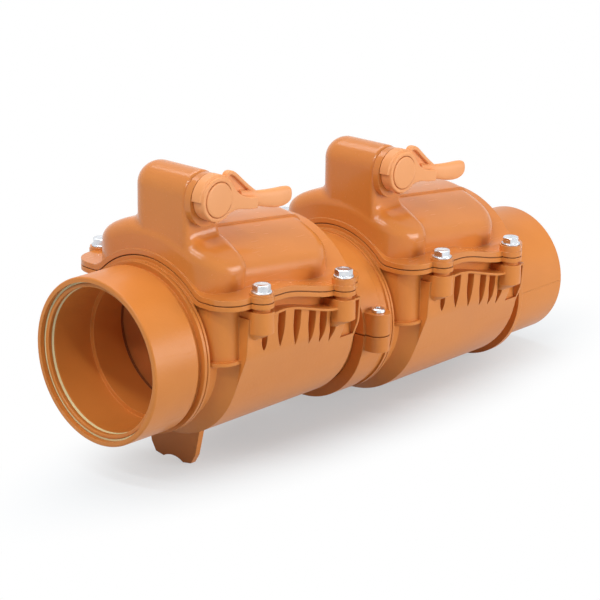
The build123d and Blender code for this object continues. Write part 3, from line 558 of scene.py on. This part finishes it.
def fused(piece, voxel, softening):
    """One skin over overlapping closed shells, taken on a voxel grid, with its corners softened."""
    melt = piece.modifiers.new("melt", "REMESH")
    melt.mode = "VOXEL"
    melt.voxel_size = voxel
    melt.use_smooth_shade = True
    soften = piece.modifiers.new("soften", "SMOOTH")
    soften.iterations = softening
    result = bpy.data.meshes.new_from_object(piece.evaluated_get(bpy.context.evaluated_depsgraph_get()))
    piece.modifiers.clear()
    piece.data = result


def shifted(piece, name, x, y, z):
    """A copy of a piece with its points moved by millimetres."""
    mesh = piece.data.copy()
    points = np.empty(len(mesh.vertices) * 3)
    mesh.vertices.foreach_get("co", points)
    mesh.vertices.foreach_set("co", (points.reshape(-1, 3) + 0.001 * np.array([x, y, z])).ravel())
    mesh.update()
    copy = bpy.data.objects.new(name, mesh)
    bpy.context.collection.objects.link(copy)
    return copy


hub = about_shaft([(-45.4, 8.4), (-45.4, 16.2), (-54.8, 16.4), (-55.8, 15.8), (-55.8, 13.4), (-53.6, 13.3),
                   (-53.6, 3.0), (-52.0, 3.0), (-52.0, 8.4)], 0, 360)
shoulder = about_shaft([(-45.4, 14.5), (-45.4, 18.3), (-53.2, 18.3), (-53.8, 17.7), (-53.8, 14.5)], 22, 178)
arm = soft_bar([
    (12.0, -55.8, -47.0, -12.4, 12.4),
    (14.0, -55.8, -47.0, -11.9, 9.6),
    (17.0, -55.8, -47.0, -11.3, 5.4),
    (21.0, -55.8, -47.2, -11.2, 1.4),
    (26.0, -55.8, -47.4, -12.0, -1.8),
    (32.0, -55.8, -48.0, -13.3, -3.8),
    (40.2, -55.7, -48.4, -14.2, -5.2),
    (41.0, -55.3, -48.8, -13.8, -5.6),
], power=9.0)
paddle = soft_bar([
    (28.0, -51.4, -46.2, -11.5, 1.0),
    (36.0, -51.6, -46.4, -12.8, -0.6),
    (42.0, -52.0, -46.6, -13.4, -2.0),
    (48.0, -52.8, -46.9, -14.9, -2.6),
    (54.0, -53.6, -47.2, -16.6, -3.1),
    (60.0, -54.4, -47.6, -18.0, -3.4),
    (66.0, -55.0, -48.0, -18.7, -3.5),
    (71.0, -55.5, -48.4, -18.5, -3.6),
    (75.0, -55.7, -48.8, -17.3, -4.0),
    (77.2, -55.6, -49.4, -15.6, -4.8),
    (78.1, -55.0, -50.2, -14.0, -6.0),
], power=2.5)
wing = rim([(11.5, 4.0), (13.0, 10.0), (13.6, 14.6), (16.2, 16.4), (20.4, 15.4), (25.0, 11.6), (31.0, 6.2),
            (37.0, 1.2), (44.0, -4.0)], width=3.4, y0=-45.7, y1=-51.2)
web = plate([(11.0, 2.0), (13.4, 13.0), (18.0, 14.6), (26.0, 9.0), (34.0, 2.2), (42.0, -4.0), (30.0, -8.0),
             (15.0, -8.0)], y0=-46.0, y1=-48.0)
notch = soft_bar([(-2.6, -54.0, -48.0, -17.6, -15.0), (2.6, -54.0, -48.0, -17.6, -15.0)], power=6.0)

lever_plastic = plastic("lever plastic", (0.84, 0.365, 0.145), (0.78, 0.32, 0.115), (0.88, 0.47, 0.23),
                        rough=0.42, peel_scale=900.0, peel_height=0.0005, coat=0.0)
shaft_x, shaft_z = 72.0, 119.5
lever_mould = surface("lock_lever", [hub, shoulder, arm, paddle, wing, web, notch], crease=35.0)
fused(lever_mould, voxel=0.00035, softening=4)
for unit, unit_x, unit_z in units:
    lever = shifted(lever_mould, f"lock_handle_{unit}", shaft_x + unit_x, 0.0, shaft_z + unit_z)
    dress(lever, lever_plastic, "lever", f"lever_body_{unit}", f"lever_{unit}")
bpy.data.objects.remove(lever_mould)


# The round caps pressed into the hubs over the lever screws, of the same
# plastic, slightly domed with a soft edge.

cap = about_shaft([(-53.6, 0.01), (-53.6, 12.9), (-55.9, 12.9), (-56.3, 12.6), (-56.5, 12.0), (-56.6, 11.0),
                   (-56.6, 0.01)], 0, 360)
cap_mould = surface("hub_cap", [cap], crease=25.0)
for unit, unit_x, unit_z in units:
    cap_piece = shifted(cap_mould, f"hub_cap_{unit}", shaft_x + unit_x, 0.0, shaft_z + unit_z)
    dress(cap_piece, lever_plastic, "lever", f"lever_body_{unit}", f"lever_cap_{unit}")
bpy.data.objects.remove(cap_mould)


# The studio: a pale floor that keeps the object's shadow, a white surround and
# soft lamps. Two strips and a broad lamp hang above, a little to the left, and
# one fills in from low on the right.

def plainly_seen(tree):
    """One for camera, glossy and transmission rays, and nought for all others."""
    path = tree.nodes.new("ShaderNodeLightPath")
    direct = joined_maths(tree, "MAXIMUM", path.outputs["Is Camera Ray"], path.outputs["Is Glossy Ray"])
    return joined_maths(tree, "MAXIMUM", direct, path.outputs["Is Transmission Ray"])


floor_z = cad_low[2]
floor_half = 6.0
shadow_middle = (0.26, -0.005, floor_z)
shadow_squash = (0.3, 1.0, 0.0)
floor_corners = [(x * floor_half, y * floor_half, floor_z) for x, y in ((-1, -1), (1, -1), (1, 1), (-1, 1))]
floor_mesh = bpy.data.meshes.new("studio floor")
floor_mesh.from_pydata(floor_corners, [], [(0, 1, 2, 3)])
floor = bpy.data.objects.new("studio_floor", floor_mesh)
bpy.context.collection.objects.link(floor)

paper, tree, matt = new_material("studio paper")
matt.inputs["Base Color"].default_value = (0.62, 0.71, 0.79, 1.0)
matt.inputs["Roughness"].default_value = 0.9
matt.inputs["Specular IOR Level"].default_value = 0.1
white = tree.nodes.new("ShaderNodeEmission")
white.inputs["Color"].default_value = (1.0, 1.0, 1.0, 1.0)
place = tree.nodes.new("ShaderNodeTexCoord")
shift = tree.nodes.new("ShaderNodeVectorMath")
shift.operation = "SUBTRACT"
shift.inputs[1].default_value = shadow_middle
oval = tree.nodes.new("ShaderNodeVectorMath")
oval.operation = "MULTIPLY"
oval.inputs[1].default_value = shadow_squash
reach = tree.nodes.new("ShaderNodeVectorMath")
reach.operation = "LENGTH"
fade = tree.nodes.new("ShaderNodeMapRange")
fade.interpolation_type = "SMOOTHSTEP"
fade.inputs["From Min"].default_value = 0.03
fade.inputs["From Max"].default_value = 0.12
fade.inputs["To Min"].default_value = 0.4
mix = tree.nodes.new("ShaderNodeMixShader")
tree.links.new(place.outputs["Object"], shift.inputs[0])
tree.links.new(shift.outputs["Vector"], oval.inputs[0])
tree.links.new(oval.outputs["Vector"], reach.inputs[0])
tree.links.new(reach.outputs["Value"], fade.inputs["Value"])
share = joined_maths(tree, "MULTIPLY", fade.outputs["Result"], plainly_seen(tree))
tree.links.new(share, mix.inputs["Fac"])
tree.links.new(matt.outputs["BSDF"], mix.inputs[1])
tree.links.new(white.outputs["Emission"], mix.inputs[2])
tree.links.new(mix.outputs["Shader"], tree.nodes["Material Output"].inputs["Surface"])
floor_mesh.materials.append(paper)

world = bpy.data.worlds.new("studio surround")
bpy.context.scene.world = world
world.use_nodes = True
tree = world.node_tree
tree.nodes.clear()
surround = tree.nodes.new("ShaderNodeBackground")
surround.inputs["Color"].default_value = (0.96, 0.98, 1.0, 1.0)
surround.inputs["Strength"].default_value = 0.22
backdrop = tree.nodes.new("ShaderNodeBackground")
backdrop.inputs["Color"].default_value = (1.0, 1.0, 1.0, 1.0)
backdrop.inputs["Strength"].default_value = 1.0
mix = tree.nodes.new("ShaderNodeMixShader")
output = tree.nodes.new("ShaderNodeOutputWorld")
tree.links.new(plainly_seen(tree), mix.inputs["Fac"])
tree.links.new(surround.outputs["Background"], mix.inputs[1])
tree.links.new(backdrop.outputs["Background"], mix.inputs[2])
tree.links.new(mix.outputs["Shader"], output.inputs["Surface"])


def soft_lamp(name, place, size, watts, colour):
    """A rectangular soft box of a width and a height in metres, turned to the object's middle."""
    lamp = bpy.data.lights.new(name, "AREA")
    lamp.shape = "RECTANGLE"
    lamp.size, lamp.size_y = size
    lamp.energy = watts
    lamp.color = colour
    holder = bpy.data.objects.new(name, lamp)
    holder.location = place
    holder.rotation_euler = (object_middle - Vector(place)).to_track_quat("-Z", "Y").to_euler()
    bpy.context.collection.objects.link(holder)


object_middle = Vector((0.24, 0.0, 0.0))
warm_white = (1.0, 0.985, 0.96)
soft_lamp("upper_strip", (-0.85, -0.35, 1.6), size=(1.1, 0.1), watts=12.5, colour=warm_white)
soft_lamp("lower_strip", (-1.3, -0.3, 1.25), size=(1.1, 0.1), watts=10.5, colour=warm_white)
soft_lamp("top_lamp", (0.5, 0.6, 1.6), size=(1.4, 1.0), watts=17.0, colour=(1.0, 1.0, 1.0))
soft_lamp("side_lamp", (1.0, -1.6, 0.25), size=(1.0, 0.8), watts=21.0, colour=(1.0, 0.99, 0.98))


# The camera stands in front and to the left, a little above, at the
# photograph's own angle and distance, with a long lens.

camera_place = (-1.0407, -1.1435, 0.5475)
yaw = radians(47.82)
pitch = radians(17.91)
roll = radians(0.76)
look = Vector((sin(yaw) * cos(pitch), cos(yaw) * cos(pitch), -sin(pitch)))
level_right = Vector((cos(yaw), -sin(yaw), 0.0))
level_up = level_right.cross(look)
right = level_right * cos(roll) + level_up * sin(roll)
up = level_up * cos(roll) - level_right * sin(roll)
lens = bpy.data.cameras.new("photo_camera")
lens.lens = 134.5
lens.sensor_width = 36.0
lens.clip_end = 50.0
camera = bpy.data.objects.new("photo_camera", lens)
turn = Matrix((right, up, -look)).transposed()
camera.matrix_world = Matrix.Translation(camera_place) @ turn.to_4x4()
bpy.context.collection.objects.link(camera)
bpy.context.scene.camera = camera
bpy.context.scene.view_settings.view_transform = "Standard"
